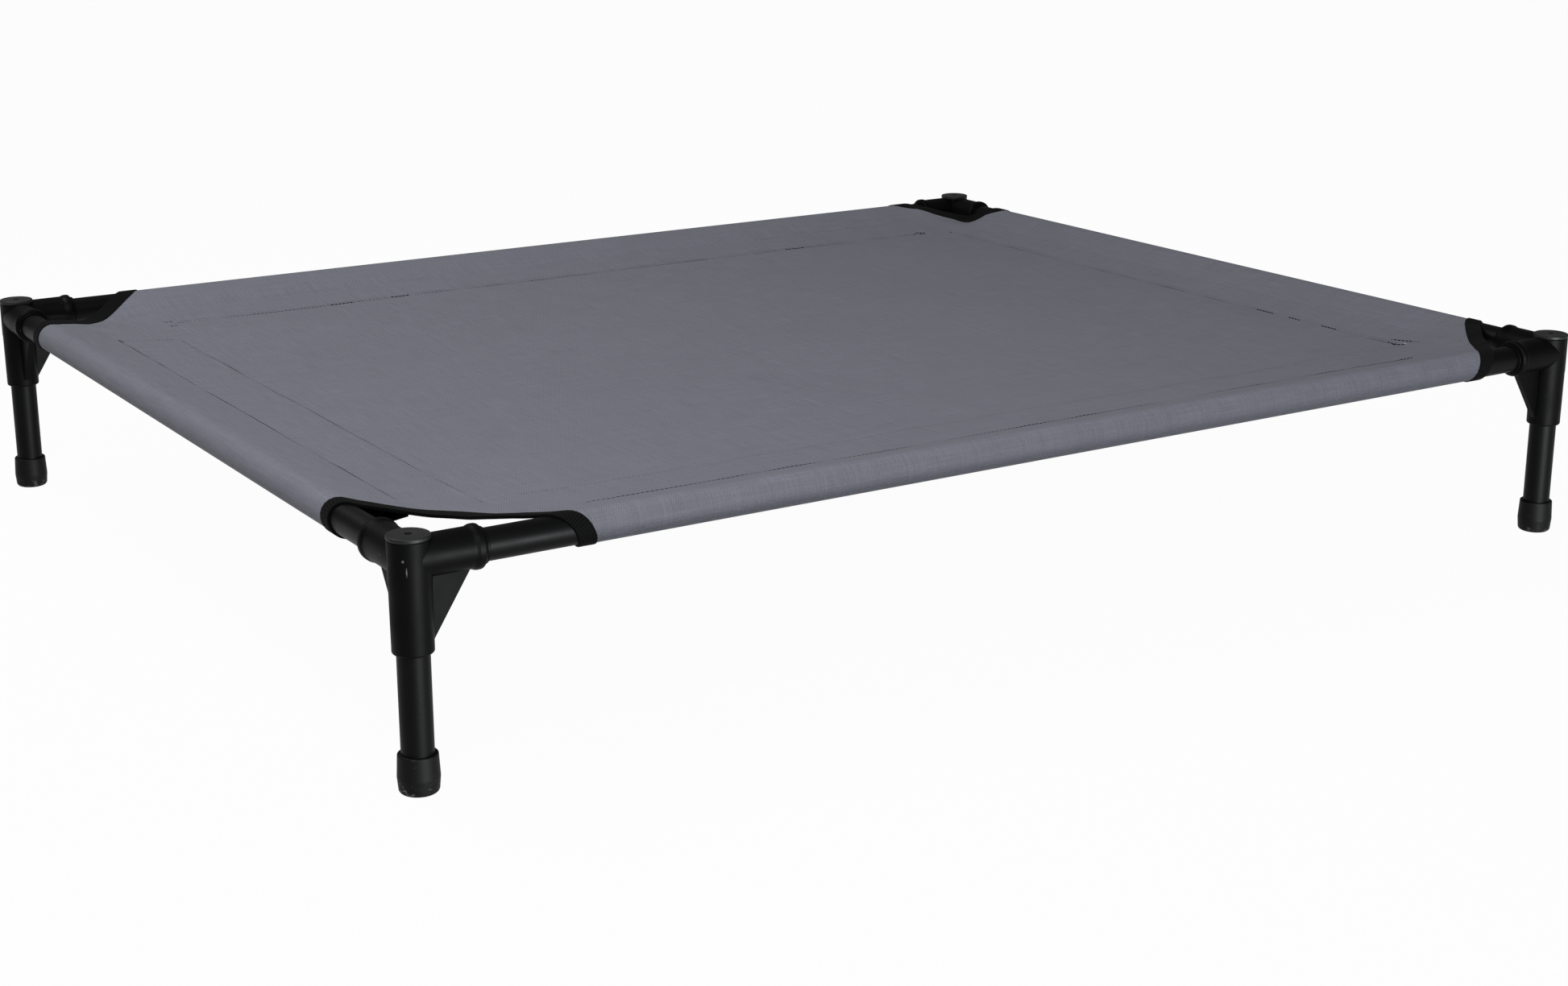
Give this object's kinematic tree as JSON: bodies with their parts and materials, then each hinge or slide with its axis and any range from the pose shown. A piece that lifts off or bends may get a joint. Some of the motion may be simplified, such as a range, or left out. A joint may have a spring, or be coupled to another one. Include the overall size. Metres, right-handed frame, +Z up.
{
  "type": "raised dog bed",
  "caption": "Raised pet cot: a cloth sling with taped corners stretched on steel tube rails, with moulded corner connectors and push-in legs.",
  "frame": {"origin": "on the floor, under the middle of the frame", "axes": "+X along the long rails, +Y from the front rail to the rear rail, +Z up"},
  "size_m": [1.0862, 0.8782, 0.1742],
  "materials": {
    "connector_plastic": "satin moulded",
    "cap_plastic": "matte moulded",
    "black_tube": "satin black powder coat",
    "foot_rubber": "matte",
    "sling_cloth": "coarse grey weave",
    "binding_tape": "black woven tape"
  },
  "bodies": {
    "frame": {"corner_front_left": "connector_plastic", "corner_front_right": "connector_plastic", "corner_rear_right": "connector_plastic", "corner_rear_left": "connector_plastic", "cap_front_left": "cap_plastic", "cap_front_right": "cap_plastic", "cap_rear_right": "cap_plastic", "cap_rear_left": "cap_plastic", "binding_front_left": "binding_tape", "binding_front_right": "binding_tape", "binding_rear_right": "binding_tape", "binding_rear_left": "binding_tape", "rail_front": "black_tube", "rail_right": "black_tube", "rail_rear": "black_tube", "rail_left": "black_tube", "sleeve_front": "sling_cloth", "sleeve_right": "sling_cloth", "sleeve_rear": "sling_cloth", "sleeve_left": "sling_cloth", "sling_panel": "sling_cloth"},
    "leg_front_left": {"leg_front_left": "black_tube", "foot_front_left": "foot_rubber"},
    "leg_front_right": {"leg_front_right": "black_tube", "foot_front_right": "foot_rubber"},
    "leg_rear_right": {"leg_rear_right": "black_tube", "foot_rear_right": "foot_rubber"},
    "leg_rear_left": {"leg_rear_left": "black_tube", "foot_rear_left": "foot_rubber"}
  },
  "joints": [
    {"name": "front_left_leg_pull", "type": "slide", "parent": "frame", "child": "leg_front_left", "axis": [0, 0, -1], "range_m": [0, 0.05]},
    {"name": "front_right_leg_pull", "type": "slide", "parent": "frame", "child": "leg_front_right", "axis": [0, 0, -1], "range_m": [0, 0.05]},
    {"name": "rear_right_leg_pull", "type": "slide", "parent": "frame", "child": "leg_rear_right", "axis": [0, 0, -1], "range_m": [0, 0.05]},
    {"name": "rear_left_leg_pull", "type": "slide", "parent": "frame", "child": "leg_rear_left", "axis": [0, 0, -1], "range_m": [0, 0.05]}
  ]
}
